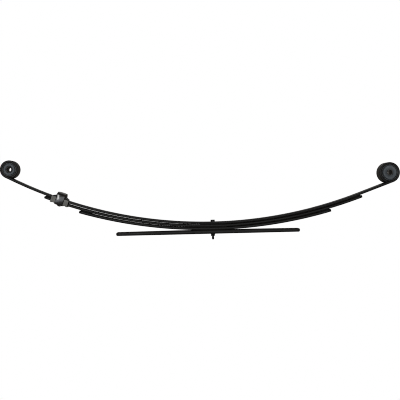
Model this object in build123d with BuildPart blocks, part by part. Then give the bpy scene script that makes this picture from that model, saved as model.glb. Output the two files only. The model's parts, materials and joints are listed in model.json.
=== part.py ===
from build123d import *
import os
from math import acos, asin, cos, degrees, radians, sin, sqrt, tan

# Pickup leaf spring, drawn in its free state.
# Millimetres, +X to the front, +Y across the width, +Z up.
# The origin is on the centre-bolt axis, at the underside of the overload leaf, where the axle pad bears.

os.makedirs("parts", exist_ok=True)

# ---------------------------------------------------------------- driving dimensions

leaf_width = 60.0
main_radius = 1497.0           # top faces in free camber; each leaf down is a little flatter
second_radius = 1527.0
third_radius = 1558.0
main_thickness = 8.0
second_thickness = 8.0
third_thickness = 9.0
overload_thickness = 13.0
spacer_thickness = 1.5         # gap between the leaves at the centre bolt
edge_round = 1.6               # rolled long edges of the leaves
tip_corner = 12.0              # plan-view corner radius at the leaf tips

rear_eye_x = -690.0
front_eye_x = 610.0
rear_straight_x = -672.0       # the main leaf is straight from here to the eye
front_straight_x = 507.0
rear_eye_radius = 23.2         # inner radius of the wrapped eye
front_eye_radius = 27.5
wrap_gap = 1.2                 # degrees left open between the wrap's end and the leaf
wrap_toe = 16.0                # the bevelled end of the wrap stops this many degrees short of a full turn

second_tips = (-572.0, 514.0)
third_tips = (-455.0, 406.0)
overload_tips = (-332.0, 299.0)
overload_tip_drop = 1.2        # the overload leaf is rolled thinner towards its tips
overload_flat = 120.0          # half length of its full-thickness middle
overload_nose = 4.0            # rounding of its tips

bolt_radius = 4.0              # M8 centre bolt
bolt_hole_radius = 4.25
bolt_head_radius = 7.25
bolt_head_height = 6.5
bolt_head_chamfer = 1.2
head_seat = 0.03               # the flat head rests on the curved leaf just off the bottom of the curve
stud_end = 20.8                # bolt tip below the overload leaf
stud_point = 4.0               # length of its lead-in cone
stud_tip_radius = 1.2
nut_flange_radius = 8.95
nut_flange_height = 1.6
nut_height = 8.0
nut_across_flats = 13.0
nut_corner_slope = 45.0        # bevel of the hexagon's corners, degrees

spacer_half_length = 45.0
pad_length = 38.0
pad_width = 50.0
pad_inset = 4.0                # pad edge to leaf tip
pad_corner = 8.0
button_radius = 5.0            # locating button moulded under each pad
button_length = 5.0
button_root = 0.5              # how far the button reaches up into its pad
soft_clearance = 0.1           # between pieces that move with the arms and the leaves

clip_x = -521.5
strap_width = 29.0
strap_thickness = 4.0
strap_top = 20.5               # outside of the strap above the main leaf
strap_bend = 12.0              # outer bend radius at the top
strap_foot_bend = 6.5          # outer bend radius at the bottom
strap_seam = 2.0               # gap where the two strap ends meet on top
strap_edge_round = 1.0
liner_length = 56.0
liner_wall = 2.5
liner_clearance = 0.3
liner_lip = 1.2                # raised rim at each end of the liner
liner_lip_width = 5.0
top_pad_length = 50.0
top_pad_toe = 3.0              # height of the top pad at its ends
top_pad_heel = 7.5             # height beside the strap
top_pad_step = 1.5
top_pad_round = 7.0            # crown corners, inside the strap's top bends
rivet_radius = 4.0
rivet_head_radius = 8.0
rivet_dome = 4.0
rivet_sink = 2.6               # how much wider than the shank the countersunk end is
rivet_sink_angle = 82.0
rivet_below_flush = 0.15       # countersunk end stays under the second leaf's top face

bore_radius = 7.4              # sleeve bore, for an M14 bolt
bore_chamfer = 0.8
can_wall = 1.5
can_chamfer = 0.5
fit_gap = 0.05                 # radial running clearance round the cans and sleeves
rear_sleeve_radius = 12.0
rear_sleeve_length = 62.0
rear_boss_radius = 19.0        # rubber face that stands proud round the sleeve
rear_boss_half = 30.0
front_sleeve_radius = 10.5
front_sleeve_length = 74.0
front_boss_radius = 22.8
front_boss_half = 35.0
boss_round = 2.0
sleeve_end_round = 1.5
can_half = 28.0
rubber_recess_half = 24.0      # rubber between boss and can sits back from the leaf edge
serrations = 20                # radial teeth on the sleeve ends
serration_depth = 0.5
serration_width = 1.0

same_size = 0.01               # two lengths this close are the same when edges are picked

# ---------------------------------------------------------------- the arcs of the leaves


class Arc:
    """Circular arc in the XZ plane, lowest on the centre-bolt axis."""

    def __init__(self, radius, low_point):
        self.radius = radius
        self.low_point = low_point
        self.centre = (0.0, low_point + radius)

    def under(self, depth):
        """Arc about the same centre, this far below."""
        return Arc(self.radius + depth, self.low_point - depth)

    def angle(self, x):
        """Angle from straight down, in degrees, of the arc's point at x."""
        return degrees(asin(x / self.radius))

    def plane(self, x):
        """Plane on the arc at x: local X along it to the front, local Y across, local Z to its centre."""
        a = radians(self.angle(x))
        origin = (x, 0, self.centre[1] - self.radius * cos(a))
        return Plane(origin=origin, x_dir=(cos(a), 0, sin(a)), z_dir=(-sin(a), 0, cos(a)))

    def distance_to(self, other, x):
        """Distance down to another arc, measured square to this one at x."""
        a = radians(self.angle(x))
        rise = other.centre[1] - self.centre[1]
        return sqrt(other.radius**2 - (rise * sin(a)) ** 2) - rise * cos(a) - self.radius


helper_thickness = second_thickness + third_thickness
stack_height = main_thickness + helper_thickness + overload_thickness + 2 * spacer_thickness
half_width = leaf_width / 2

main_top = Arc(main_radius, stack_height)
main_under = main_top.under(main_thickness)
second_top = Arc(second_radius, main_under.low_point - spacer_thickness)
second_under = second_top.under(second_thickness)
third_top = Arc(third_radius, second_under.low_point - spacer_thickness)


def eye_centre(eye_x, eye_radius, straight_x):
    """Centre of an eye whose inside touches the straight end of the main leaf, and that end's slope."""
    slope = main_top.angle(straight_x)
    a = radians(slope)
    start = main_top.plane(straight_x).origin
    run = (eye_x - straight_x + eye_radius * sin(a)) / cos(a)
    return (eye_x, start.Z + run * sin(a) + eye_radius * cos(a)), slope


rear_eye, rear_slope = eye_centre(rear_eye_x, rear_eye_radius, rear_straight_x)
front_eye, front_slope = eye_centre(front_eye_x, front_eye_radius, front_straight_x)


def save(piece, label):
    """Names a finished piece and writes its STEP file."""
    piece.part.label = label
    export_step(piece.part, f"parts/{label}.step")
    box = piece.part.bounding_box()
    print(f"{label:24s} {piece.part.volume / 1000:8.1f} cm3  z {box.min.Z:7.1f} to {box.max.Z:7.1f}")


def side_edges(part):
    """Edges of the two flat side faces of a leaf."""
    faces = part.faces().sort_by(Axis.Y)
    return faces[0].edges() + faces[-1].edges()


# ---------------------------------------------------------------- main leaf

def wrap_angle(eye_radius):
    """Sweep of the eye's wrap, stopping just before its end would touch the leaf."""
    return 360 - degrees(acos(eye_radius / (eye_radius + main_thickness))) - wrap_gap


rear_wrap = wrap_angle(rear_eye_radius)
front_wrap = wrap_angle(front_eye_radius)
rear_down = -90 + rear_slope
front_down = -90 + front_slope

with BuildPart() as main_leaf:
    with BuildSketch(Plane.XZ):
        with BuildLine():
            underside = CenterArc(main_under.centre, main_under.radius, rear_down, front_down - rear_down)
            front_outer = CenterArc(front_eye, front_eye_radius + main_thickness, front_down, front_wrap)
            front_inner = CenterArc(front_eye, front_eye_radius, front_down + front_wrap, -front_wrap)
            top_face = CenterArc(main_top.centre, main_top.radius, front_down, rear_down - front_down)
            rear_inner = CenterArc(rear_eye, rear_eye_radius, rear_down, -rear_wrap)
            wrap_end = rear_down - rear_wrap
            rear_outer = CenterArc(rear_eye, rear_eye_radius + main_thickness, wrap_end, rear_wrap)
            around = (underside, front_outer, front_inner, top_face, rear_inner, rear_outer)
            for last, following in zip(around, around[1:] + around[:1]):
                Line(last @ 1, following @ 0)
        make_face()
    extrude(amount=half_width, both=True)
    fillet(side_edges(main_leaf), edge_round)
    for eye, radius, down, wrap, turn in (
        (rear_eye, rear_eye_radius, rear_down, rear_wrap, -1),
        (front_eye, front_eye_radius, front_down, front_wrap, 1),
    ):
        toe_sweep = 360 - wrap_toe - wrap
        with BuildSketch(Plane.XZ):
            with BuildLine():
                inside = CenterArc(eye, radius, down + turn * wrap, turn * toe_sweep)
                heel = PolarLine(inside @ 0, main_thickness, angle=down + turn * wrap)
                Line(heel @ 1, inside @ 1)
            make_face()
        extrude(amount=half_width - edge_round, both=True)
    with Locations((0, 0, stack_height)):
        Hole(bolt_hole_radius, depth=2 * main_thickness)
save(main_leaf, "main_leaf")


# ---------------------------------------------------------------- second and third leaves

def band(upper, lower, rear_x, front_x):
    """Sketch on Plane.XZ of the band between two arcs, with ends square to the upper one."""
    with BuildSketch(Plane.XZ) as outline:
        with BuildLine():
            sides = []
            for arc in (upper, lower):
                feet = []
                for x in (rear_x, front_x):
                    reach = upper.radius + upper.distance_to(arc, x)
                    feet.append(arc.angle(reach * x / upper.radius))
                sides.append(CenterArc(arc.centre, arc.radius, -90 + feet[0], feet[1] - feet[0]))
            Line(sides[0] @ 0, sides[1] @ 0)
            Line(sides[0] @ 1, sides[1] @ 1)
        make_face()
    return outline.sketch


def pad_x(tip):
    """Middle of the tip pad that sits just inboard of a leaf tip."""
    inset = pad_inset + pad_length / 2
    return tip + inset if tip < 0 else tip - inset


def curved_leaf(top, thickness, tips, rivet_hole=False):
    """A graduated leaf: an arched band with rounded plan corners, a bolt hole and two button holes."""
    with BuildPart() as leaf:
        extrude(band(top, top.under(thickness), *tips), amount=half_width, both=True)
        ends = leaf.edges().filter_by(lambda edge: abs(edge.length - thickness) < same_size)
        fillet(ends, tip_corner)
        fillet(side_edges(leaf), edge_round)
        with Locations((0, 0, top.low_point)):
            Hole(bolt_hole_radius, depth=2 * thickness)
        for tip in tips:
            with Locations(top.plane(pad_x(tip))):
                Hole(button_radius + soft_clearance, depth=2 * thickness)
        if rivet_hole:
            with Locations(top.plane(clip_x)):
                CounterSinkHole(rivet_radius + soft_clearance, rivet_radius + rivet_sink + soft_clearance)
    return leaf


second_leaf = curved_leaf(second_top, second_thickness, second_tips, rivet_hole=True)
save(second_leaf, "second_leaf")

third_leaf = curved_leaf(third_top, third_thickness, third_tips)
save(third_leaf, "third_leaf")

# ---------------------------------------------------------------- overload leaf

rear_tip, front_tip = overload_tips
tip_top = overload_thickness - overload_tip_drop

with BuildPart() as overload_leaf:
    with BuildSketch(Plane.XZ):
        with BuildLine():
            Polyline(
                (rear_tip, 0),
                (front_tip, 0),
                (front_tip, tip_top),
                (overload_flat, overload_thickness),
                (-overload_flat, overload_thickness),
                (rear_tip, tip_top),
                close=True,
            )
        make_face()
    extrude(amount=half_width, both=True)
    fillet(overload_leaf.edges().filter_by(Axis.Y).sort_by(Axis.X)[:2], overload_nose)
    fillet(overload_leaf.edges().filter_by(Axis.Y).sort_by(Axis.X)[-2:], overload_nose)
    fillet(side_edges(overload_leaf), edge_round)
    Hole(bolt_hole_radius, depth=2 * overload_thickness)
save(overload_leaf, "overload_leaf")


# ---------------------------------------------------------------- centre bolt, nut and spacers

def center_spacer(above, below):
    """Thin steel plate between two leaves at the middle of the pack."""
    with BuildPart() as spacer:
        extrude(band(above, below, -spacer_half_length, spacer_half_length), amount=half_width, both=True)
        with Locations((0, 0, above.low_point)):
            Hole(bolt_hole_radius, depth=4 * spacer_thickness)
    return spacer


upper_center_spacer = center_spacer(main_under, second_top)
save(upper_center_spacer, "upper_center_spacer")

lower_center_spacer = center_spacer(second_under, third_top)
save(lower_center_spacer, "lower_center_spacer")

with BuildPart() as center_bolt:
    with BuildSketch(Plane.XY.offset(-stud_end)):
        Circle(bolt_radius)
    extrude(amount=stud_end + stack_height + head_seat)
    with BuildSketch(Plane.XY.offset(stack_height + head_seat)):
        Circle(bolt_head_radius)
    extrude(amount=bolt_head_height - head_seat)
    chamfer(center_bolt.edges().group_by(Axis.Z)[-1], bolt_head_chamfer)
    stud_rim = center_bolt.edges().group_by(Axis.Z)[0]
    chamfer(stud_rim, length=stud_point, length2=bolt_radius - stud_tip_radius)
save(center_bolt, "center_bolt")

with BuildPart() as center_nut:
    with BuildSketch(Plane.XY):
        Circle(nut_flange_radius)
    extrude(amount=-nut_flange_height)
    with BuildSketch(Plane.XY.offset(-nut_height)):
        RegularPolygon(nut_across_flats / 2, 6, major_radius=False)
    extrude(amount=nut_height)
    with BuildSketch(Plane.XY.offset(-nut_height)):
        Circle(nut_across_flats / 2)
    extrude(amount=nut_height, taper=-nut_corner_slope, mode=Mode.INTERSECT)
    Hole(bolt_radius, depth=4 * nut_height)
save(center_nut, "center_nut")


# ---------------------------------------------------------------- tip pads

def tip_pad(above, leaf_top, tip):
    """Plastic pad that fills the gap over a leaf's tip, with a button that drops into the leaf's hole."""
    middle = pad_x(tip)
    pad_ends = (middle - pad_length / 2, middle + pad_length / 2)
    with BuildPart() as pad:
        outline = band(above.under(soft_clearance), leaf_top.under(-soft_clearance), *pad_ends)
        extrude(outline, amount=pad_width / 2, both=True)
        fillet(pad.edges().sort_by(SortBy.LENGTH)[:4], pad_corner)
        with BuildSketch(leaf_top.plane(middle).offset(soft_clearance + button_root)):
            Circle(button_radius)
        extrude(amount=-(button_root + button_length))
    return pad


rear_second_tip_pad = tip_pad(main_under, second_top, second_tips[0])
save(rear_second_tip_pad, "rear_second_tip_pad")

front_second_tip_pad = tip_pad(main_under, second_top, second_tips[1])
save(front_second_tip_pad, "front_second_tip_pad")

rear_third_tip_pad = tip_pad(second_under, third_top, third_tips[0])
save(rear_third_tip_pad, "rear_third_tip_pad")

front_third_tip_pad = tip_pad(second_under, third_top, third_tips[1])
save(front_third_tip_pad, "front_third_tip_pad")

# ---------------------------------------------------------------- rebound clip

# The clip stands square on the second leaf, which it is riveted to.
clip_seat = second_top.plane(clip_x)
clip_section = Plane(origin=clip_seat.origin, x_dir=(0, 1, 0), z_dir=clip_seat.x_dir)
clip_side = Plane(origin=clip_seat.origin, x_dir=clip_seat.x_dir, z_dir=(0, -1, 0))
clip_up = Axis(clip_seat.origin, clip_seat.z_dir)
main_rise = -second_top.distance_to(main_top, clip_x)      # main leaf's top face above the second's
liner_floor = second_under.under(liner_clearance)
liner_under = liner_floor.under(liner_wall)
liner_foot = -(second_thickness + liner_clearance + liner_wall)
liner_half = half_width + liner_clearance
wall_width = 2 * (liner_half + liner_wall)

with BuildPart() as clip_liner:
    liner_ends = (clip_x - liner_length / 2, clip_x + liner_length / 2)
    extrude(band(main_top, liner_under, *liner_ends), amount=wall_width / 2, both=True)
    long_edges = clip_liner.edges().filter_by(lambda edge: edge.length > liner_length * 0.9)
    fillet(long_edges.sort_by(clip_up)[:2], liner_wall)
    rim_foot = liner_foot - liner_lip
    for side in (-1, 1):
        rim = second_top.plane(clip_x + side * (liner_length - liner_lip_width) / 2)
        rim_section = Plane(origin=rim.origin, x_dir=(0, 1, 0), z_dir=rim.x_dir)
        with BuildSketch(rim_section.offset(-liner_lip_width / 2)):
            with Locations((0, (main_rise + rim_foot) / 2)):
                RectangleRounded(wall_width + 2 * liner_lip, main_rise - rim_foot, liner_wall)
        extrude(amount=liner_lip_width)
    inside_ends = (clip_x - liner_length, clip_x + liner_length)
    opening = band(main_top.under(-liner_wall), liner_floor, *inside_ends)
    extrude(opening, amount=liner_half, both=True, mode=Mode.SUBTRACT)
    with Locations(clip_seat.offset(liner_foot)):
        Hole(rivet_radius, depth=2 * liner_wall)
save(clip_liner, "clip_liner")

top_pad_crown = strap_top - strap_thickness - soft_clearance

with BuildPart() as clip_top_pad:
    with BuildSketch(clip_side):
        half_long = top_pad_length / 2
        half_crown = strap_width / 2
        with BuildLine():
            Polyline(
                (-half_long, 0),
                (-half_long, main_rise + top_pad_toe),
                (-half_crown - top_pad_step, main_rise + top_pad_heel),
                (-half_crown, main_rise + top_pad_crown),
                (half_crown, main_rise + top_pad_crown),
                (half_crown + top_pad_step, main_rise + top_pad_heel),
                (half_long, main_rise + top_pad_toe),
                (half_long, 0),
                close=True,
            )
        make_face()
    extrude(amount=half_width, both=True)
    crown_sides = clip_top_pad.faces().sort_by(clip_up)[-1].edges()
    fillet(crown_sides.filter_by(Axis.Y, reverse=True), top_pad_round)
    leaf_space = band(main_top.under(-soft_clearance), second_under, *inside_ends)
    extrude(leaf_space, amount=leaf_width, both=True, mode=Mode.SUBTRACT)
save(clip_top_pad, "clip_top_pad")


def strap_outline(half, top, bottom, top_round, bottom_round):
    """Rounded box in the strap's cross-section, local Y measured up from the second leaf's top face."""
    with BuildSketch(clip_section.offset(-strap_width / 2)) as outline:
        with Locations((0, (top + bottom) / 2)):
            Rectangle(2 * half, top - bottom)
        fillet(outline.vertices().group_by(Axis.Y)[-1], top_round)
        fillet(outline.vertices().group_by(Axis.Y)[0], bottom_round)
    return outline.sketch


strap_inside = wall_width / 2 + soft_clearance
strap_crest = main_rise + strap_top
strap_foot = liner_foot - soft_clearance - strap_thickness

with BuildPart() as clip_strap:
    outside = strap_outline(
        strap_inside + strap_thickness,
        strap_crest,
        strap_foot,
        strap_bend,
        strap_foot_bend,
    )
    extrude(outside, amount=strap_width)
    inside = strap_outline(
        strap_inside,
        strap_crest - strap_thickness,
        strap_foot + strap_thickness,
        strap_bend - strap_thickness,
        strap_foot_bend - strap_thickness,
    )
    extrude(inside, amount=strap_width, mode=Mode.SUBTRACT)
    with BuildSketch(clip_section.offset(-strap_width / 2)):
        with Locations((0, strap_crest)):
            Rectangle(strap_seam, 3 * strap_thickness)
    extrude(amount=strap_width, mode=Mode.SUBTRACT)
    flat_sides = clip_strap.faces().sort_by(Axis(clip_section.origin, clip_section.z_dir))
    fillet(flat_sides[0].edges() + flat_sides[-1].edges(), strap_edge_round)
    with Locations(clip_seat.offset(strap_foot)):
        Hole(rivet_radius, depth=2 * strap_thickness)
save(clip_strap, "clip_strap")

sink_slope = 1 / tan(radians(rivet_sink_angle / 2))
sink_radius = rivet_radius + rivet_sink - soft_clearance / 2 - rivet_below_flush / sink_slope
sink_start = -rivet_below_flush - (sink_radius - rivet_radius) * sink_slope

with BuildPart() as clip_rivet:
    with BuildSketch(clip_side):
        with BuildLine():
            dome_foot = (rivet_head_radius, strap_foot)
            dome_top = (0, strap_foot - rivet_dome)
            RadiusArc(dome_top, dome_foot, -(rivet_head_radius**2 + rivet_dome**2) / (2 * rivet_dome))
            Polyline(
                dome_foot,
                (rivet_radius, strap_foot),
                (rivet_radius, sink_start),
                (sink_radius, -rivet_below_flush),
                (0, -rivet_below_flush),
                dome_top,
            )
        make_face()
    revolve(axis=clip_up)
save(clip_rivet, "clip_rivet")


# ---------------------------------------------------------------- eye bushes

def eye_plane(eye):
    """Plane across the width at an eye's centre."""
    return Plane(origin=(eye[0], 0, eye[1]), x_dir=(1, 0, 0), z_dir=(0, -1, 0))


def circles(part, radius):
    """Circular edges of one radius."""
    rounds = part.edges().filter_by(GeomType.CIRCLE)
    return rounds.filter_by(lambda edge: abs(edge.radius - radius) < same_size)


def bush_can(eye, eye_radius):
    """Thin outer tube of a bush, a close fit in the wrapped eye."""
    outer = eye_radius - fit_gap
    with BuildPart() as can:
        with BuildSketch(eye_plane(eye)):
            Circle(outer)
            Circle(outer - can_wall, mode=Mode.SUBTRACT)
        extrude(amount=can_half, both=True)
        chamfer(circles(can, outer), can_chamfer)
    return can


def bush_rubber(eye, eye_radius, sleeve_radius, boss_radius, boss_half):
    """Rubber of a bush: set back inside the can, with a raised boss round the sleeve at each end."""
    with BuildPart() as rubber:
        with BuildSketch(eye_plane(eye)):
            Circle(eye_radius - fit_gap - can_wall)
        extrude(amount=rubber_recess_half, both=True)
        with BuildSketch(eye_plane(eye)):
            Circle(boss_radius)
        extrude(amount=boss_half, both=True)
        with BuildSketch(eye_plane(eye)):
            Circle(sleeve_radius + fit_gap)
        extrude(amount=2 * boss_half, both=True, mode=Mode.SUBTRACT)
        fillet(circles(rubber, boss_radius), boss_round)
    return rubber


def bush_sleeve(eye, sleeve_radius, sleeve_length):
    """Inner steel sleeve with a chamfered bore and radial teeth on both ends."""
    half = sleeve_length / 2
    with BuildPart() as sleeve:
        with BuildSketch(eye_plane(eye)):
            Circle(sleeve_radius)
        extrude(amount=half, both=True)
        fillet(circles(sleeve, sleeve_radius), sleeve_end_round)
        with BuildSketch(eye_plane(eye)):
            Circle(bore_radius)
        extrude(amount=2 * half, both=True, mode=Mode.SUBTRACT)
        chamfer(circles(sleeve, bore_radius), bore_chamfer)
        tooth_inner = bore_radius + bore_chamfer
        for side in (-1, 1):
            with BuildSketch(eye_plane(eye).offset(side * half)):
                with PolarLocations((tooth_inner + sleeve_radius) / 2, serrations):
                    Rectangle(sleeve_radius - tooth_inner, serration_width)
            extrude(amount=serration_depth, both=True, mode=Mode.SUBTRACT)
    return sleeve


rear_bush_can = bush_can(rear_eye, rear_eye_radius)
save(rear_bush_can, "rear_bush_can")

front_bush_can = bush_can(front_eye, front_eye_radius)
save(front_bush_can, "front_bush_can")

rear_bush_rubber = bush_rubber(
    rear_eye,
    rear_eye_radius,
    rear_sleeve_radius,
    rear_boss_radius,
    rear_boss_half,
)
save(rear_bush_rubber, "rear_bush_rubber")

front_bush_rubber = bush_rubber(
    front_eye,
    front_eye_radius,
    front_sleeve_radius,
    front_boss_radius,
    front_boss_half,
)
save(front_bush_rubber, "front_bush_rubber")

rear_bush_sleeve = bush_sleeve(rear_eye, rear_sleeve_radius, rear_sleeve_length)
save(rear_bush_sleeve, "rear_bush_sleeve")

front_bush_sleeve = bush_sleeve(front_eye, front_sleeve_radius, front_sleeve_length)
save(front_bush_sleeve, "front_bush_sleeve")
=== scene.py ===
import json
from math import acos, asin, ceil, cos, pi, radians, sin, sqrt, tan

import bmesh
import bpy
from mathutils import Matrix, Vector


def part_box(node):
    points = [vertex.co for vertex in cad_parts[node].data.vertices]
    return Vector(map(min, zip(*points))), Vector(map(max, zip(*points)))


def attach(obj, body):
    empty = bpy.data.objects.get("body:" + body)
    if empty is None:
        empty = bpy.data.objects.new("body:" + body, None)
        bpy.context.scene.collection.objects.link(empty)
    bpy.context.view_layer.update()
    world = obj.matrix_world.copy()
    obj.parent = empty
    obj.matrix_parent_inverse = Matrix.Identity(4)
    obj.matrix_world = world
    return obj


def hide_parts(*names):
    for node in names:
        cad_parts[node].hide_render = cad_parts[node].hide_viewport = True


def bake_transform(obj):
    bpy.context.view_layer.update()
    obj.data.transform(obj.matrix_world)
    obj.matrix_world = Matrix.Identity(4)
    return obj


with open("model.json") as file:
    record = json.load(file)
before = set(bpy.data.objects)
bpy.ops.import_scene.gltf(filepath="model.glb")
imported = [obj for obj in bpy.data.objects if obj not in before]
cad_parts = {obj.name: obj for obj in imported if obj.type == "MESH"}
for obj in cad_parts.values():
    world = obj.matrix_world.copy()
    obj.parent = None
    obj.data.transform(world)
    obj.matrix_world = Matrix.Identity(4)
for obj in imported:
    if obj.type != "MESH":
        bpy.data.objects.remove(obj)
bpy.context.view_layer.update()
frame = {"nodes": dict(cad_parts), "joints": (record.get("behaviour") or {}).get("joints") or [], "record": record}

# Pickup leaf spring. Metres, +X to the front eye, +Y across the width, +Z up.
# The origin is on the centre-bolt axis at the underside of the overload leaf.

MM = 0.001

# ---------------------------------------------------------------- driving dimensions

MAIN_RADIUS = 1497 * MM         # top faces of the leaves
SECOND_RADIUS = 1527 * MM
THIRD_RADIUS = 1558 * MM
HALF_WIDTH = 30 * MM
MAIN_THICK = 8 * MM
SECOND_THICK = 8 * MM
THIRD_THICK = 9 * MM
EDGE_BULGE = 2.2 * MM           # how far the rolled long edges stand out from the flat faces' rims
TIP_CORNER = 12 * MM            # plan radius of the leaf tips' corners
NOSE_ROUND = 1.2 * MM
STATION = 5 * MM                # spacing of the sections along a leaf

EYES = {"rear": 23.2 * MM, "front": 27.5 * MM}          # inner radius of each wrapped eye
STRAIGHT = {"rear": -672 * MM, "front": 507 * MM}       # the main leaf is straight from here to the eye
WRAP_GAP = radians(1.2)         # left open between the wrap's square end and the leaf
WRAP_TOE = radians(16)          # where the wrap's bevel stops, short of a full turn
WRAP_STEPS = 96
BEVEL_STEPS = 12
BEVEL_EDGE = 0.3 * MM           # thickness left at the bevel's toe
EDGE_ROUND = 1.6 * MM
SECOND_TIPS = {"rear": -572 * MM, "front": 514 * MM}
THIRD_TIPS = {"rear": -455 * MM, "front": 406 * MM}
SOFT_GAP = 0.1 * MM             # pads and liners stand this far off the steel

BOLT_RADIUS = 4 * MM
BOLT_HOLE = 4.25 * MM
PITCH = 1.25 * MM               # M8 thread

ENDS = {"rear": -1, "front": 1}

# ---------------------------------------------------------------- places from the frame

MOUNTS = {m["name"]: Vector(m["pos_m"]) for m in frame["record"]["mounts"]}
JOINTS = {j["name"]: j for j in frame["joints"]}
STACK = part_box("main_leaf")[0].z + MAIN_THICK           # height of the main leaf's top face at the bolt


def flex_span(end):
    """Start and end of the stretch of an arm that bends, level points either side of its joint."""
    joint = JOINTS[f"{end}_flex"]
    start = joint["deforming_nodes"][0]["fixed_end_x_m"]
    return Vector((start, 0, 0)), Vector((2 * joint["pos_m"][0] - start, 0, 0))


# ---------------------------------------------------------------- mesh helpers

def rounded(corners, closed=True, steps=5):
    """Points of a flat outline through (x, y, radius) corners, each corner turned into an arc."""
    points = []
    for i, (x, y, radius) in enumerate(corners):
        here = Vector((x, y))
        if radius == 0 or (not closed and i in (0, len(corners) - 1)):
            points.append(here)
            continue
        to_last = (Vector(corners[i - 1][:2]) - here).normalized()
        to_next = (Vector(corners[(i + 1) % len(corners)][:2]) - here).normalized()
        half = to_last.angle(to_next) / 2
        centre = here + (to_last + to_next).normalized() * (radius / sin(half))
        u = here + to_last * (radius / tan(half)) - centre
        v = here + to_next * (radius / tan(half)) - centre
        turn = pi - 2 * half
        for k in range(steps + 1):
            t = k / steps
            points.append(centre + (u * sin((1 - t) * turn) + v * sin(t * turn)) / sin(turn))
    return points


def frame_at(origin, up):
    """Matrix with Y across the spring, Z along up, and X square to both."""
    up = Vector(up).normalized()
    across = Vector((0, 1, 0))
    along = across.cross(up)
    axes = Matrix((along, across, up)).transposed().to_4x4()
    return Matrix.Translation(origin) @ axes


class Arc:
    """Circular arc across which a leaf's face is swept, lowest on the centre-bolt axis."""

    def __init__(self, radius, low_point):
        self.radius = radius
        self.low_point = low_point
        self.centre_z = low_point + radius

    def under(self, depth):
        """Arc about the same centre, this far below."""
        return Arc(self.radius + depth, self.low_point - depth)

    def angle(self, x):
        """Angle from straight down of the arc's point at x."""
        return asin(x / self.radius)

    def frame(self, x):
        """Frame on the arc at x: X to the front along it, Z to its centre."""
        a = self.angle(x)
        return frame_at((x, 0, self.centre_z - self.radius * cos(a)), (-sin(a), 0, cos(a)))

    def gap_to(self, other, x):
        """Distance down to another arc, square to this one at x."""
        a = self.angle(x)
        rise = other.centre_z - self.centre_z
        return sqrt(other.radius**2 - (rise * sin(a)) ** 2) - rise * cos(a) - self.radius


MAIN_TOP = Arc(MAIN_RADIUS, STACK)
MAIN_UNDER = MAIN_TOP.under(MAIN_THICK)
SECOND_TOP = Arc(SECOND_RADIUS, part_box("second_leaf")[0].z + SECOND_THICK)
SECOND_UNDER = SECOND_TOP.under(SECOND_THICK)
THIRD_TOP = Arc(THIRD_RADIUS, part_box("third_leaf")[0].z + THIRD_THICK)


def finish_mesh(name, bm, sharp=radians(32)):
    """Object from a bmesh, faces outward, smooth but for its hard edges."""
    bmesh.ops.recalc_face_normals(bm, faces=bm.faces)
    mesh = bpy.data.meshes.new(name)
    bm.to_mesh(mesh)
    bm.free()
    mesh.set_sharp_from_angle(angle=sharp)
    obj = bpy.data.objects.new(name, mesh)
    bpy.context.scene.collection.objects.link(obj)
    return obj


def loft(name, rings, pairs=False, sharp=radians(32)):
    """Closed skin through rings of equally many points, capped at both ends.

    With pairs, a ring is an outer run and then the same number of inner points coming back, as in a
    channel section, and its caps are quads between the two runs."""
    bm = bmesh.new()
    made = [[bm.verts.new(p) for p in ring] for ring in rings]
    count = len(rings[0])
    for a, b in zip(made, made[1:]):
        for i in range(count):
            j = (i + 1) % count
            bm.faces.new((a[i], a[j], b[j], b[i]))
    for ring in (made[0], made[-1]):
        if pairs:
            for i in range(count // 2 - 1):
                bm.faces.new((ring[i], ring[i + 1], ring[count - 2 - i], ring[count - 1 - i]))
        else:
            bm.faces.new(ring)
    return finish_mesh(name, bm, sharp)


def lathe(name, profile, place=Matrix(), segments=96, ring=False, shape=None, sharp=radians(32)):
    """Turned piece about local Z from (radius, height) points: a ring, or a solid ending on its axis.

    shape(radius, height, angle) may return another radius and height, as for threads or flats."""
    bm = bmesh.new()
    rows = []
    for radius, height in profile:
        row = []
        for k in range(segments if radius > 0 else 1):
            angle = 2 * pi * k / segments
            r, z = shape(radius, height, angle) if shape and radius > 0 else (radius, height)
            row.append(bm.verts.new(place @ Vector((r * cos(angle), r * sin(angle), z))))
        rows.append(row)
    pairs = list(zip(rows, rows[1:])) + ([(rows[-1], rows[0])] if ring else [])
    for a, b in pairs:
        for k in range(segments):
            n = (k + 1) % segments
            corners = [a[k % len(a)], a[n % len(a)], b[n % len(b)], b[k % len(b)]]
            bm.faces.new(list(dict.fromkeys(corners)))
    return finish_mesh(name, bm, sharp)


def combine(obj, other, operation):
    """Applies a boolean of another object to obj and removes the other."""
    step = obj.modifiers.new("combine", "BOOLEAN")
    step.operation = operation
    step.object = other
    step.solver = "EXACT"
    bpy.context.view_layer.update()
    graph = bpy.context.evaluated_depsgraph_get()
    mesh = bpy.data.meshes.new_from_object(obj.evaluated_get(graph))
    obj.modifiers.clear()
    obj.data = mesh
    mesh.set_sharp_from_angle(angle=radians(32))
    bpy.data.objects.remove(other)
    return obj


def drill(obj, place, radius, reach=15 * MM):
    """Round hole through obj along the local Z of place."""
    tool = lathe("drill", [(0, -reach), (radius, -reach), (radius, reach), (0, reach)], place, 48)
    return combine(obj, tool, "DIFFERENCE")


# ---------------------------------------------------------------- leaves

def leaf_section(half_width, half_thick, bulge):
    """Flat bar section with convex rolled edges, as (across, up) points."""
    flat = half_width - bulge
    steps = 10
    points = []
    for side in (1, -1):
        for k in range(steps + 1):
            t = pi / 2 - pi * k / steps
            points.append((side * (flat + bulge * cos(t)), side * half_thick * sin(t)))
        points += [(side * flat * f, -side * half_thick) for f in (0.6, 0.2, -0.2, -0.6)]
    return points


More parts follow.
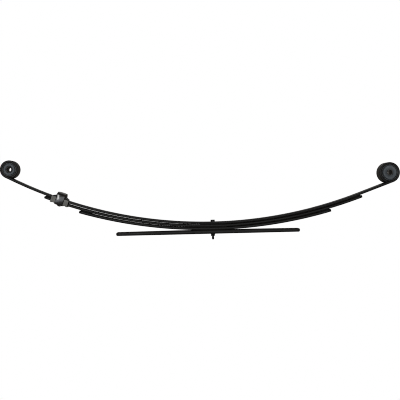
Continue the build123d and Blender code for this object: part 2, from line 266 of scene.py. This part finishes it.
def bar(name, stations, bulge):
    """Leaf or strip lofted through (frame, half width, half thickness) stations."""
    rings = []
    for place, half_width, half_thick in stations:
        section = leaf_section(half_width, half_thick, min(bulge, half_thick))
        rings.append([place @ Vector((0, y, z)) for y, z in section])
    return loft(name, rings)


def end_inset(distance, corner, nose):
    """How much the half width and half thickness shrink at this distance from a rounded end."""
    def curve(radius):
        return radius - sqrt(radius**2 - (radius - distance) ** 2) if distance < radius else 0.0
    return curve(corner) + curve(nose), curve(nose)


def end_distances(corner, nose, steps=9):
    """Distances from a rounded end at which it needs a section, outermost first."""
    found = {0.0}
    for radius, count in ((nose, 4), (corner, steps)):
        found |= {radius * (1 - cos(pi / 2 * k / count)) for k in range(1, count + 1)}
    return sorted(found)


def run_of(length):
    """Evenly spaced distances along a length, about STATION apart."""
    count = max(2, ceil(length / STATION))
    return [length * k / count for k in range(count + 1)]


def strip_stations(arc, start, stop, low, high, half_width, corner, nose, ends=(True, True)):
    """Stations along an arc from one x to another, rounded at the ends asked for.

    low and high give the strip's lower and upper face above the arc, as functions of x."""
    first, last = arc.angle(start), arc.angle(stop)
    length = abs(last - first) * arc.radius
    heading = 1 if stop > start else -1
    margins = [max(corner, nose) if wanted else 0.0 for wanted in ends]
    places = {margins[0] + d for d in run_of(length - sum(margins))}
    if ends[0]:
        places |= set(end_distances(corner, nose))
    if ends[1]:
        places |= {length - d for d in end_distances(corner, nose)}
    stations = []
    for along in sorted(places):
        less_wide, less_thick = 0.0, 0.0
        for wanted, distance in ((ends[0], along), (ends[1], length - along)):
            if wanted:
                wide, slim = end_inset(distance, corner, nose)
                less_wide, less_thick = less_wide + wide, less_thick + slim
        x = arc.radius * sin(first + heading * along / arc.radius)
        bottom, top = low(x), high(x)
        place = arc.frame(x) @ Matrix.Translation((0, 0, (bottom + top) / 2))
        stations.append((place, half_width - less_wide, (top - bottom) / 2 - less_thick))
    return stations


def leaf_stations(arc, start, stop, thick, corner, nose, ends):
    """Stations of a leaf of even thickness whose top face lies on an arc."""
    return strip_stations(arc, start, stop, lambda x: -thick, lambda x: 0.0, HALF_WIDTH, corner, nose, ends)


def main_half(end):
    """Half of the main leaf, from the centre bolt out and round its eye."""
    eye_radius = EYES[end]
    sign = ENDS[end]
    eye = MOUNTS[f"{end}_eye_bore"]
    stations = leaf_stations(MAIN_TOP, 0.0, STRAIGHT[end], MAIN_THICK, 0, 0, (False, False))
    slope = MAIN_TOP.angle(STRAIGHT[end])
    up = Vector((-sin(slope), 0, cos(slope)))
    bend_end = stations[-1][0].translation
    touch = eye - up * (eye_radius + MAIN_THICK / 2)
    for along in run_of((touch - bend_end).length)[1:]:
        place = bend_end + (touch - bend_end).normalized() * along
        stations.append((frame_at(place, up), HALF_WIDTH, MAIN_THICK / 2))
    wrap = 2 * pi - acos(eye_radius / (eye_radius + MAIN_THICK)) - WRAP_GAP
    middle = eye_radius + MAIN_THICK / 2
    for k in range(1, WRAP_STEPS + 1):
        turn = slope + sign * wrap * k / WRAP_STEPS
        inward = Vector((-sin(turn), 0, cos(turn)))
        stations.append((frame_at(eye - inward * middle, inward), HALF_WIDTH, MAIN_THICK / 2))
    # a long bevel, straight from the outside at the heel to the inside at the toe, almost flat along the leaf
    heel, outside = 2 * pi - wrap, eye_radius + MAIN_THICK
    for k in range(1, BEVEL_STEPS + 1):
        short = heel + (WRAP_TOE - heel) * k / BEVEL_STEPS
        reach = outside * eye_radius * sin(heel - WRAP_TOE)
        reach /= outside * sin(heel - short) + eye_radius * sin(short - WRAP_TOE)
        slim = max((reach - eye_radius) / 2, BEVEL_EDGE / 2)
        turn = slope + sign * (2 * pi - short)
        inward = Vector((-sin(turn), 0, cos(turn)))
        place = eye - inward * (eye_radius + slim)
        stations.append((frame_at(place, inward), HALF_WIDTH - EDGE_ROUND, slim))
    leaf = bar(f"main_leaf_{end}_half", stations, EDGE_BULGE)
    return drill(leaf, Matrix.Translation((0, 0, STACK)), BOLT_HOLE)


def pad_x(tip):
    """Middle of the pad just inboard of a leaf tip."""
    inset = PAD_INSET + PAD_LENGTH / 2
    return tip - inset if tip > 0 else tip + inset


def helper_half(name, end, tips, top, thick):
    """Half of the second or third leaf, with its rounded tip and its pad's button hole."""
    stations = leaf_stations(top, 0.0, tips[end], thick, TIP_CORNER, NOSE_ROUND, (False, True))
    leaf = bar(f"{name}_{end}_half", stations, EDGE_BULGE)
    drill(leaf, Matrix.Translation((0, 0, top.low_point)), BOLT_HOLE)
    return drill(leaf, top.frame(pad_x(tips[end])), BUTTON_RADIUS + SOFT_GAP)


def overload_leaf():
    """Straight heavy leaf at the bottom, flat underneath and rolled thinner towards its tips."""
    low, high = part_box("overload_leaf")
    full, flat = high.z, 120 * MM
    tip_thick = full - 1.2 * MM
    nose = 5.5 * MM
    places = set()
    for tip in (low.x, high.x):
        sign = 1 if tip > 0 else -1
        places |= {tip - sign * d for d in end_distances(TIP_CORNER, nose)}
        places |= {tip - sign * (TIP_CORNER + d) for d in run_of(abs(tip) - TIP_CORNER)}
    stations = []
    for x in sorted(places):
        tip = high.x if x > 0 else low.x
        share = max(0.0, (abs(x) - flat) / (abs(tip) - flat))
        thick = full + (tip_thick - full) * share
        wide, slim = end_inset(abs(tip) - abs(x), TIP_CORNER, nose)
        place = frame_at((x, 0, thick / 2), (0, 0, 1))
        stations.append((place, HALF_WIDTH - wide, thick / 2 - slim))
    return drill(bar("overload_bar", stations, 2.6 * MM), Matrix(), BOLT_HOLE)


# ---------------------------------------------------------------- spacers and tip pads

SPACER_HALF = 45 * MM
PAD_LENGTH = 38 * MM
PAD_HALF_WIDTH = 25 * MM
PAD_INSET = 4 * MM
PAD_CORNER = 8 * MM
BUTTON_RADIUS = 5 * MM
BUTTON_LENGTH = 5 * MM


def spacer(name, below, above):
    """Flat steel spacer between two leaves at the centre bolt."""
    def high(x):
        return -below.gap_to(above, x)
    ends = (-SPACER_HALF, SPACER_HALF)
    stations = strip_stations(below, *ends, lambda x: 0.0, high, HALF_WIDTH, 0.6 * MM, 0.3 * MM)
    plate = bar(name, stations, 0.4 * MM)
    return drill(plate, Matrix.Translation((0, 0, below.low_point)), BOLT_HOLE)


def tip_pad(name, tip, leaf_top, above):
    """Moulded pad that fills the gap over a leaf's tip, with a button that drops into the leaf's hole."""
    def high(x):
        return -leaf_top.gap_to(above, x) - SOFT_GAP
    middle = pad_x(tip)
    ends = (middle - PAD_LENGTH / 2, middle + PAD_LENGTH / 2)
    shape = (PAD_HALF_WIDTH, PAD_CORNER, 0.7 * MM)
    pad = bar(name, strip_stations(leaf_top, *ends, lambda x: SOFT_GAP, high, *shape), 0.9 * MM)
    root, foot = 0.6 * MM, -BUTTON_LENGTH
    outline = rounded(
        [(0, root, 0), (BUTTON_RADIUS, root, 0), (BUTTON_RADIUS, foot, 0.8 * MM), (0, foot, 0)], closed=False)
    button = lathe("button", [tuple(p) for p in outline], leaf_top.frame(middle), 48)
    return combine(pad, button, "UNION")


# ---------------------------------------------------------------- rebound clip

CLIP_X = -521.5 * MM
CLIP_SEAT = SECOND_TOP.frame(CLIP_X)                    # the clip stands square on the second leaf
STRAP_WIDTH = 29 * MM
STRAP_THICK = 4 * MM
STRAP_HALF = 36.9 * MM          # outside half width
STRAP_TOP = 20.5 * MM             # outside above the main leaf's top face
STRAP_BEND = 12 * MM
STRAP_FOOT_BEND = 6.5 * MM
STRAP_SEAM = 2 * MM
STRAP_CROWN = 0.8 * MM          # fall of the strap's outside from its middle to its edges
STRAP_BOW = 0.5 * MM            # fall of each leg's outside from its middle to the bends
LINER_LENGTH = 56 * MM
TOP_PAD_LENGTH = 50 * MM
LINER_WALL = 2.5 * MM
LINER_FLOOR = -(SECOND_THICK + 0.3 * MM)                # inside face, below the second leaf's top
LINER_HALF = 30.3 * MM          # inside half width
LINER_LIP = 1.2 * MM
LINER_LIP_WIDTH = 5 * MM
STRAP_FOOT = LINER_FLOOR - LINER_WALL - SOFT_GAP - STRAP_THICK


def main_rise(x):
    """Height of the main leaf's top face above the second leaf's, square to the second at x."""
    return -SECOND_TOP.gap_to(MAIN_TOP, x)


def clip_strap():
    """Steel strap bent round the leaves, its two ends meeting at a seam on top.

    Its outside is crowned across the width and bows a little down each leg; its inside is flat."""
    half, rim = STRAP_HALF - STRAP_THICK / 2, STRAP_THICK / 2
    top, bottom = main_rise(CLIP_X) + STRAP_TOP - rim, STRAP_FOOT + rim
    bend, foot = STRAP_BEND - rim, STRAP_FOOT_BEND - rim
    seam = STRAP_SEAM / 2
    leg_top, leg_bottom = top - bend, bottom + foot
    leg = [(leg_top + (leg_bottom - leg_top) * k / 10) for k in range(1, 10)]
    path = rounded([(seam, top, 0), (half, top, bend), (half, leg[0], 0)], closed=False, steps=10)
    path += [Vector((half, z)) for z in leg[1:]]
    path += rounded([(half, leg[-1], 0), (half, bottom, foot), (0, bottom, 0)], closed=False, steps=8)[1:]
    path += [Vector((-p.x, p.y)) for p in reversed(path[:-1])]
    w, t, r = STRAP_WIDTH / 2, rim, 1.5 * MM
    outside = [(w * k / 6, t, 0) for k in range(-5, 6)]
    section = rounded([(-w, t, r), *outside, (w, t, r), (w, -t, r), (-w, -t, r)], steps=4)
    rings = []
    for i, point in enumerate(path):
        last, after = path[max(i - 1, 0)], path[min(i + 1, len(path) - 1)]
        along = (after - last).normalized()
        outward = Vector((-along.y, along.x))
        down = max(-1.0, min(1.0, 1 - 2 * (leg_top - point.y) / (leg_top - leg_bottom)))
        ring = []
        for x, out in section:
            if out > 0:
                out -= STRAP_CROWN * (x / w) ** 2 + STRAP_BOW * down**2
            ring.append(CLIP_SEAT @ Vector((x, *(point + outward * out))))
        rings.append(ring)
    return loft("clip_strap_steel", rings)


def clip_rivet():
    """Rivet that holds the strap under the second leaf: a dome below, countersunk flush on top."""
    under = STRAP_FOOT
    dome_radius, dome, shank = 8 * MM, 4 * MM, 4 * MM
    sphere = (dome_radius**2 + dome**2) / (2 * dome)
    half_angle = asin(dome_radius / sphere)
    steps = 10
    profile = [(0.0, under - dome)]
    for k in range(1, steps + 1):
        t = half_angle * k / steps
        profile.append((sphere * sin(t), under - dome + sphere * (1 - cos(t))))
    sunk, top = 6.3 * MM, -0.15 * MM
    profile += [(shank, under), (shank, top - (sunk - shank) / tan(radians(41))), (sunk, top), (0.0, top)]
    return lathe("clip_rivet_turned", profile, CLIP_SEAT, 64)


def clip_liner():
    """Plastic channel between the strap and the leaves, open on top, with a raised lip at each end."""
    length, lip = LINER_LENGTH, LINER_LIP_WIDTH
    steps = [(-length / 2, LINER_LIP - 0.5 * MM), (-length / 2 + 0.5 * MM, LINER_LIP),
             (-length / 2 + lip - 0.5 * MM, LINER_LIP), (-length / 2 + lip, LINER_LIP - 0.4 * MM),
             (-length / 2 + lip + 0.1 * MM, 0.0)]
    stations = steps + [(-x, rise) for x, rise in reversed(steps)]
    rings = []
    for x, rise in stations:
        place = SECOND_TOP.frame(CLIP_X + x)
        half, floor = LINER_HALF + LINER_WALL + rise, LINER_FLOOR - LINER_WALL - rise
        rim = main_rise(CLIP_X + x)
        outer = rounded(
            [(half, rim, 0), (half, floor, LINER_WALL), (-half, floor, LINER_WALL), (-half, rim, 0)],
            closed=False)
        inner = rounded(
            [(-LINER_HALF, rim, 0), (-LINER_HALF, LINER_FLOOR, 0.5 * MM),
             (LINER_HALF, LINER_FLOOR, 0.5 * MM), (LINER_HALF, rim, 0)], closed=False)
        rings.append([place @ Vector((0, *p)) for p in outer + inner])
    return loft("clip_liner_channel", rings, pairs=True)


def clip_top_pad():
    """Moulded rubber bump on the main leaf that the strap's top bears on."""
    half, crown = TOP_PAD_LENGTH / 2, STRAP_WIDTH / 2
    crown_top = STRAP_TOP - STRAP_THICK - SOFT_GAP
    toe, heel, step = 3 * MM, 7.5 * MM, 1.5 * MM
    front_side = [
        (crown, crown_top, 0.8 * MM), (crown + step, heel, 2.5 * MM),
        (half, toe, 1.2 * MM), (half, 0.8 * MM, 0)]
    rear_side = [(-x, height, bend) for x, height, bend in reversed(front_side)]
    outline = rounded(rear_side + front_side, closed=False, steps=6)
    base = 0.3 * MM
    rings = []
    for x, above_leaf in [tuple(p) for p in outline]:
        place = SECOND_TOP.frame(CLIP_X + x)
        floor = main_rise(CLIP_X + x) + SOFT_GAP
        height = main_rise(CLIP_X + x) + above_leaf
        corner = min(7 * MM, 0.55 * (height - floor))
        section = rounded(
            [(-HALF_WIDTH, height, corner), (HALF_WIDTH, height, corner),
             (HALF_WIDTH, floor, base), (-HALF_WIDTH, floor, base)], steps=6)
        rings.append([place @ Vector((0, *p)) for p in section])
    return loft("clip_top_pad_rubber", rings, sharp=radians(40))


# ---------------------------------------------------------------- centre bolt and nut

def thread(major, z, angle, hand=1):
    """Radius of an M8 thread's crest-to-root profile at this height and angle."""
    turn = (z / PITCH + hand * angle / (2 * pi)) % 1.0
    depth = 0.61 * PITCH
    return major - depth * min(1.0, max(0.0, abs(2 * turn - 1) * 1.25 - 0.125))


def center_bolt():
    """Round-headed M8 bolt through the pack, threaded below the overload leaf."""
    head_base = STACK + 0.03 * MM
    head_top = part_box("center_bolt")[1].z
    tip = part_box("center_bolt")[0].z
    head_radius, point = 7.25 * MM, 4 * MM
    rows = 96
    stud = [(BOLT_RADIUS, tip + (2 * MM - tip) * k / rows) for k in range(rows + 1)]
    head = rounded(
        [(BOLT_RADIUS, head_base, 0), (head_radius, head_base, 0.3 * MM),
         (head_radius, head_top, 1.2 * MM), (3.2 * MM, head_top, 0.5 * MM),
         (2.6 * MM, head_top - 0.5 * MM, 0.3 * MM), (0.0, head_top - 0.5 * MM, 0)], closed=False)

    def shape(radius, z, angle):
        if z > 1.9 * MM:
            return radius, z
        cone = 1.2 * MM + (z - tip) * (BOLT_RADIUS - 1.2 * MM) / point
        return min(thread(BOLT_RADIUS, z, angle), cone), z

    profile = [(0.0, tip)] + stud + [(BOLT_RADIUS, 3 * MM)] + [tuple(p) for p in head]
    return lathe("center_bolt_turned", profile, Matrix(), 64, shape=shape, sharp=radians(40))


def center_nut():
    """Flanged hexagon nut that closes the pack from below."""
    flats, corner = 6.5 * MM, 6.5 * MM / cos(pi / 6)
    flange, depth = 8.95 * MM, 8 * MM
    bore = BOLT_RADIUS + 0.02 * MM
    outside = rounded(
        [(bore, 0, 0), (flange, 0, 0.25 * MM), (flange, -0.9 * MM, 0.5 * MM), (corner, -1.9 * MM, 0.3 * MM),
         (corner, -depth + (corner - flats), 0), (flats, -depth, 0.2 * MM), (bore, -depth, 0)], closed=False)

    def shape(radius, z, angle):
        if z > -1.75 * MM or radius < 5 * MM:
            return radius, z
        off = (angle + pi / 6) % (pi / 3) - pi / 6
        return min(radius, flats / cos(off)), z

    return lathe("center_nut_hex", [tuple(p) for p in outside], Matrix(), 96, ring=True, shape=shape)


# ---------------------------------------------------------------- eye bushes

CAN_WALL = 1.5 * MM
CAN_HALF = 28 * MM
FIT = 0.05 * MM
RECESS_HALF = 24 * MM
GROOVE_HALF = 15 * MM           # bottom of the groove between the boss and the can
BOSS = {"rear": (19 * MM, 30 * MM), "front": (22.8 * MM, 35 * MM)}      # radius and half length
DISH = {"rear": (1.2 * MM, 0.8 * MM), "front": (6 * MM, 3.2 * MM)}      # width and depth round the sleeve
SLEEVE = {"rear": 12 * MM, "front": 10.5 * MM}
SLEEVE_STEEL = {"rear": "bolt_steel", "front": "bush_steel"}


def eye_frame(end):
    """Frame at an eye's centre with Z towards -Y, out of the near side."""
    x, y, z = (1, 0, 0), (0, 0, 1), (0, -1, 0)
    return Matrix.Translation(MOUNTS[f"{end}_eye_bore"]) @ Matrix((x, y, z)).transposed().to_4x4()


def bush_can(end):
    """Thin steel tube of a bush, pressed into its eye."""
    outer = EYES[end] - FIT
    inner = outer - CAN_WALL
    profile = rounded(
        [(outer, -CAN_HALF, 0.5 * MM), (outer, CAN_HALF, 0.5 * MM),
         (inner, CAN_HALF, 0.4 * MM), (inner, -CAN_HALF, 0.4 * MM)], steps=4)
    return lathe(f"{end}_bush_tube", [tuple(p) for p in profile], eye_frame(end), 128, ring=True)


def bush_rubber(end):
    """Moulded rubber of a bush: a groove inside the can and a raised boss dished round the sleeve."""
    outer = EYES[end] - FIT - CAN_WALL
    boss, half = BOSS[end]
    dish, dip = DISH[end]
    inner = SLEEVE[end] + FIT
    side = [
        (outer, RECESS_HALF, 0.3 * MM),
        (outer - 0.8 * MM, RECESS_HALF, 0.4 * MM),
        ((outer + boss) / 2, GROOVE_HALF, 0.8 * MM),
        (boss - 0.4 * MM, RECESS_HALF, 0.5 * MM),
        (boss, half, 2 * MM),
        (inner + dish, half, 1 * MM),
        (inner + 0.8 * MM, half - dip, 0.3 * MM),
        (inner, half - dip, 0.3 * MM),
    ]
    profile = rounded(side + [(r, -z, c) for r, z, c in reversed(side)], steps=6)
    return lathe(f"{end}_bush_moulding", [tuple(p) for p in profile], eye_frame(end), 128, ring=True)


# ---------------------------------------------------------------- materials

class Paint:
    """Principled material with procedural texture in the object's own coordinates."""

    def __init__(self, name, **sockets):
        self.material = bpy.data.materials.new(name)
        self.material.use_nodes = True
        self.nodes = self.material.node_tree.nodes
        self.links = self.material.node_tree.links
        self.shader = next(n for n in self.nodes if n.type == "BSDF_PRINCIPLED")
        for socket, value in sockets.items():
            self.shader.inputs[socket.replace("_", " ")].default_value = value
        self.place = self.nodes.new("ShaderNodeTexCoord").outputs["Object"]

    def noise(self, scale, detail=3.0, stretch=(1, 1, 1)):
        """Noise of so many cells to the metre, between about 0.3 and 0.7."""
        mapping = self.nodes.new("ShaderNodeMapping")
        mapping.inputs["Scale"].default_value = stretch
        node = self.nodes.new("ShaderNodeTexNoise")
        node.inputs["Scale"].default_value = scale
        node.inputs["Detail"].default_value = detail
        self.links.new(self.place, mapping.inputs["Vector"])
        self.links.new(mapping.outputs["Vector"], node.inputs["Vector"])
        return node.outputs["Fac"]

    def span(self, value, low, high, to_low=0.0, to_high=1.0):
        """Maps a value from one range to another, clamped."""
        node = self.nodes.new("ShaderNodeMapRange")
        for socket, number in zip(("From Min", "From Max", "To Min", "To Max"), (low, high, to_low, to_high)):
            node.inputs[socket].default_value = number
        self.links.new(value, node.inputs["Value"])
        return node.outputs["Result"]

    def blend(self, factor, first, second):
        """Mixes two colours; either may be a socket."""
        node = self.nodes.new("ShaderNodeMix")
        node.data_type = "RGBA"
        self.links.new(factor, node.inputs["Factor"])
        for socket, colour in ((node.inputs[6], first), (node.inputs[7], second)):
            if isinstance(colour, tuple):
                socket.default_value = (*colour, 1)
            else:
                self.links.new(colour, socket)
        return node.outputs[2]

    def mottle(self, cloud, low, high, dark, light):
        """Base colour that runs from dark to light where the cloud goes from low to high."""
        self.feed("Base Color", self.blend(self.span(cloud, low, high), dark, light))

    def feed(self, socket, value):
        """Links a value to one of the shader's sockets."""
        self.links.new(value, self.shader.inputs[socket])

    def bump(self, *layers):
        """Bump of several heights, each given as (height, distance in metres)."""
        normal = None
        for height, distance in layers:
            node = self.nodes.new("ShaderNodeBump")
            node.inputs["Distance"].default_value = distance
            self.links.new(height, node.inputs["Height"])
            if normal:
                self.links.new(normal, node.inputs["Normal"])
            normal = node.outputs["Normal"]
        self.feed("Normal", normal)
        return self.material


def leaf_paint():
    """Satin black paint over shot-peened spring steel, with faint dust and thin spots."""
    paint = Paint("leaf_paint", IOR=1.5)
    cloud = paint.noise(9, 4, (1, 2, 2))
    fine = paint.noise(260, 2)
    base = paint.blend(paint.span(cloud, 0.35, 0.68), (0.011, 0.011, 0.012), (0.021, 0.0205, 0.0195))
    speck = paint.span(paint.noise(900, 1), 0.66, 0.74)
    paint.feed("Base Color", paint.blend(speck, base, (0.05, 0.047, 0.042)))
    paint.feed("Roughness", paint.span(paint.noise(30, 5), 0.3, 0.7, 0.36, 0.5))
    return paint.bump((fine, 0.00012), (paint.noise(700, 1), 0.00005))


def clip_paint():
    """Glossy black dip paint, a little brown where it is thin."""
    paint = Paint("clip_paint", IOR=1.5, Coat_Weight=1.0, Coat_Roughness=0.07)
    cloud = paint.noise(60, 4)
    paint.mottle(cloud, 0.45, 0.72, (0.012, 0.012, 0.013), (0.05, 0.036, 0.026))
    paint.feed("Roughness", paint.span(paint.noise(110, 3), 0.3, 0.7, 0.14, 0.26))
    return paint.bump((paint.noise(90, 2), 0.00006))


def bolt_steel():
    """Black-oxide steel, lightly oiled."""
    paint = Paint("bolt_steel", Metallic=0.85)
    cloud = paint.noise(160, 4)
    paint.mottle(cloud, 0.35, 0.7, (0.035, 0.035, 0.037), (0.085, 0.08, 0.074))
    paint.feed("Roughness", paint.span(paint.noise(420, 3), 0.3, 0.7, 0.36, 0.56))
    return paint.bump((paint.noise(900, 2), 0.00004))


def bush_steel():
    """Phosphated tube steel, grey with a mottled crystal bloom."""
    paint = Paint("bush_steel", Metallic=0.75)
    cloud = paint.noise(120, 5)
    paint.mottle(cloud, 0.35, 0.68, (0.14, 0.135, 0.13), (0.27, 0.265, 0.25))
    paint.feed("Roughness", paint.span(paint.noise(500, 2), 0.3, 0.7, 0.42, 0.62))
    return paint.bump((paint.noise(1100, 2), 0.00003))


def bush_rubber_skin():
    """Natural rubber with a bluish bloom and fine mould texture."""
    paint = Paint("bush_rubber", IOR=1.5)
    cloud = paint.noise(70, 4)
    paint.mottle(cloud, 0.35, 0.68, (0.22, 0.26, 0.3), (0.3, 0.34, 0.38))
    paint.feed("Roughness", paint.span(paint.noise(200, 3), 0.3, 0.7, 0.5, 0.7))
    return paint.bump((paint.noise(800, 2), 0.00006))


def black_plastic():
    """Moulded black polyamide of the tip pads."""
    paint = Paint("pad_plastic", IOR=1.5)
    paint.mottle(paint.noise(90, 3), 0.35, 0.7, (0.018, 0.018, 0.019), (0.032, 0.032, 0.032))
    paint.feed("Roughness", paint.span(paint.noise(300, 2), 0.3, 0.7, 0.45, 0.6))
    return paint.bump((paint.noise(1200, 1), 0.00005))


def black_rubber():
    """Moulded black rubber of the clip's top pad."""
    paint = Paint("pad_rubber", IOR=1.5)
    paint.mottle(paint.noise(80, 4), 0.35, 0.7, (0.014, 0.014, 0.015), (0.03, 0.029, 0.028))
    paint.feed("Roughness", paint.span(paint.noise(220, 3), 0.3, 0.7, 0.5, 0.66))
    return paint.bump((paint.noise(600, 2), 0.00008))


def liner_plastic():
    """Grey moulded plastic of the clip's channel."""
    paint = Paint("liner_plastic", IOR=1.46)
    paint.mottle(paint.noise(70, 4), 0.35, 0.7, (0.4, 0.4, 0.385), (0.52, 0.52, 0.49))
    paint.feed("Roughness", paint.span(paint.noise(240, 2), 0.3, 0.7, 0.36, 0.52))
    return paint.bump((paint.noise(900, 1), 0.00005))


PAINTS = {
    "leaf_paint": leaf_paint(),
    "clip_paint": clip_paint(),
    "bolt_steel": bolt_steel(),
    "bush_steel": bush_steel(),
    "bush_rubber": bush_rubber_skin(),
    "pad_plastic": black_plastic(),
    "pad_rubber": black_rubber(),
    "liner_plastic": liner_plastic(),
}


# ---------------------------------------------------------------- assembly

def dress(piece, slot, *nodes):
    """Gives a piece its material and slot, and lets it stand for its CAD nodes."""
    piece.data.materials.clear()
    piece.data.materials.append(PAINTS[slot])
    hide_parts(*nodes)
    return piece


def add(piece, slot, body, *nodes):
    """A piece that moves with one body."""
    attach(dress(piece, slot, *nodes), body)


def bend(piece, slot, end, *nodes):
    """A piece that spans an arm: given its material and standing for its CAD nodes, with its place baked into its
    mesh. The arm's flex span is looked up, but nothing bends the piece or ties it to a body.
    """
    start, stop = flex_span(end)
    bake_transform(dress(piece, slot, *nodes))


HELPERS = (
    ("second", SECOND_TIPS, SECOND_TOP, SECOND_THICK, MAIN_UNDER),
    ("third", THIRD_TIPS, THIRD_TOP, THIRD_THICK, SECOND_UNDER),
)

for end in ENDS:
    arm = f"{end}_arm"
    bend(main_half(end), "leaf_paint", end, "main_leaf")
    for leaf, tips, top, thick, above in HELPERS:
        helper = helper_half(f"{leaf}_leaf", end, tips, top, thick)
        if leaf == "second" and end == "rear":
            drill(helper, CLIP_SEAT, 4.1 * MM)
        bend(helper, "leaf_paint", end, f"{leaf}_leaf")
        bend(tip_pad(f"{end}_{leaf}_pad", tips[end], top, above), "pad_plastic", end, f"{end}_{leaf}_tip_pad")
    add(bush_can(end), "bush_steel", arm, f"{end}_bush_can")
    add(bush_rubber(end), "bush_rubber", arm, f"{end}_bush_rubber")
    sleeve = frame["nodes"][f"{end}_bush_sleeve"]
    sleeve.data.materials.clear()
    sleeve.data.materials.append(PAINTS[SLEEVE_STEEL[end]])

add(overload_leaf(), "leaf_paint", "leaf_pack", "overload_leaf")
for level, below, above in (("upper", SECOND_TOP, MAIN_UNDER), ("lower", THIRD_TOP, SECOND_UNDER)):
    plate = spacer(f"{level}_spacer_plate", below, above)
    add(plate, "leaf_paint", "leaf_pack", f"{level}_center_spacer")
add(center_bolt(), "bolt_steel", "leaf_pack", "center_bolt")
add(center_nut(), "bolt_steel", "leaf_pack", "center_nut")
add(clip_strap(), "clip_paint", "rear_arm", "clip_strap")
add(clip_rivet(), "clip_paint", "rear_arm", "clip_rivet")
add(clip_liner(), "liner_plastic", "rear_arm", "clip_liner")
add(clip_top_pad(), "pad_rubber", "rear_arm", "clip_top_pad")


# ---------------------------------------------------------------- studio

def soft_light(name, place, size, radiance, tint=(1, 1, 1)):
    """Rectangular soft box of an even radiance, aimed at the spring and hidden from the camera."""
    data = bpy.data.lights.new(name, "AREA")
    data.shape = "RECTANGLE"
    data.size, data.size_y = size
    data.energy = radiance * pi * size[0] * size[1]
    data.color = tint
    lamp = bpy.data.objects.new(name, data)
    lamp.location = place
    lamp.rotation_euler = (Vector((0, 0, 0.1)) - Vector(place)).to_track_quat("-Z", "Y").to_euler()
    lamp.visible_camera = False
    bpy.context.scene.collection.objects.link(lamp)


def white_surround(ambient):
    """White to the camera, and an even dim warm grey to everything else."""
    world = bpy.data.worlds.new("surround")
    bpy.context.scene.world = world
    world.use_nodes = True
    nodes, links = world.node_tree.nodes, world.node_tree.links
    seen = nodes["Background"]
    seen.inputs["Color"].default_value = (1, 1, 1, 1)
    fill = nodes.new("ShaderNodeBackground")
    fill.inputs["Color"].default_value = (*ambient, 1)
    rays = nodes.new("ShaderNodeLightPath")
    mix = nodes.new("ShaderNodeMixShader")
    links.new(rays.outputs["Is Camera Ray"], mix.inputs[0])
    links.new(fill.outputs[0], mix.inputs[1])
    links.new(seen.outputs[0], mix.inputs[2])
    links.new(mix.outputs[0], nodes["World Output"].inputs["Surface"])


def pale_floor():
    """Plain white floor under the spring that takes no shadow and adds no light."""
    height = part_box("center_bolt")[0].z - 1 * MM
    bm = bmesh.new()
    bmesh.ops.create_grid(bm, x_segments=4, y_segments=4, size=3.0)
    bmesh.ops.translate(bm, verts=bm.verts, vec=(0, 0, height))
    floor = finish_mesh("floor", bm)
    material = bpy.data.materials.new("floor_white")
    material.use_nodes = True
    nodes = material.node_tree.nodes
    nodes.clear()
    glow = nodes.new("ShaderNodeEmission")
    output = nodes.new("ShaderNodeOutputMaterial")
    material.node_tree.links.new(glow.outputs[0], output.inputs["Surface"])
    floor.data.materials.append(material)
    floor.visible_diffuse = False
    floor.visible_glossy = False
    floor.visible_shadow = False


def camera():
    """Long lens, nearly level, a little left of the centre bolt, rolled so that the front eye is higher."""
    data = bpy.data.cameras.new("camera")
    data.sensor_width = 36
    data.lens = 97.8
    cam = bpy.data.objects.new("camera", data)
    place = Vector((-0.121, -3.740, 0.130))
    aim = Vector((-0.0425, -0.030, 0.1164))
    roll = Matrix.Rotation(radians(-1.33), 4, "Z")
    turn = (aim - place).to_track_quat("-Z", "Y").to_matrix().to_4x4()
    cam.matrix_world = Matrix.Translation(place) @ turn @ roll
    bpy.context.scene.collection.objects.link(cam)
    bpy.context.scene.camera = cam


bpy.context.scene.view_settings.view_transform = "Standard"
bpy.context.scene.cycles.filter_width = 1.0
white_surround((0.11, 0.102, 0.088))
pale_floor()
soft_light("front_strip", (0, -5.0, 0.2), (7.0, 0.8), 1.4, (0.93, 0.98, 1.05))
soft_light("back_high", (0, 4.0, 3.2), (6.0, 2.0), 0.8)
soft_light("overhead", (0, 0.4, 3.0), (4.0, 1.6), 0.6)
soft_light("streak", (-1.28, -3.93, 0.75), (0.32, 1.1), 9.0)
camera()
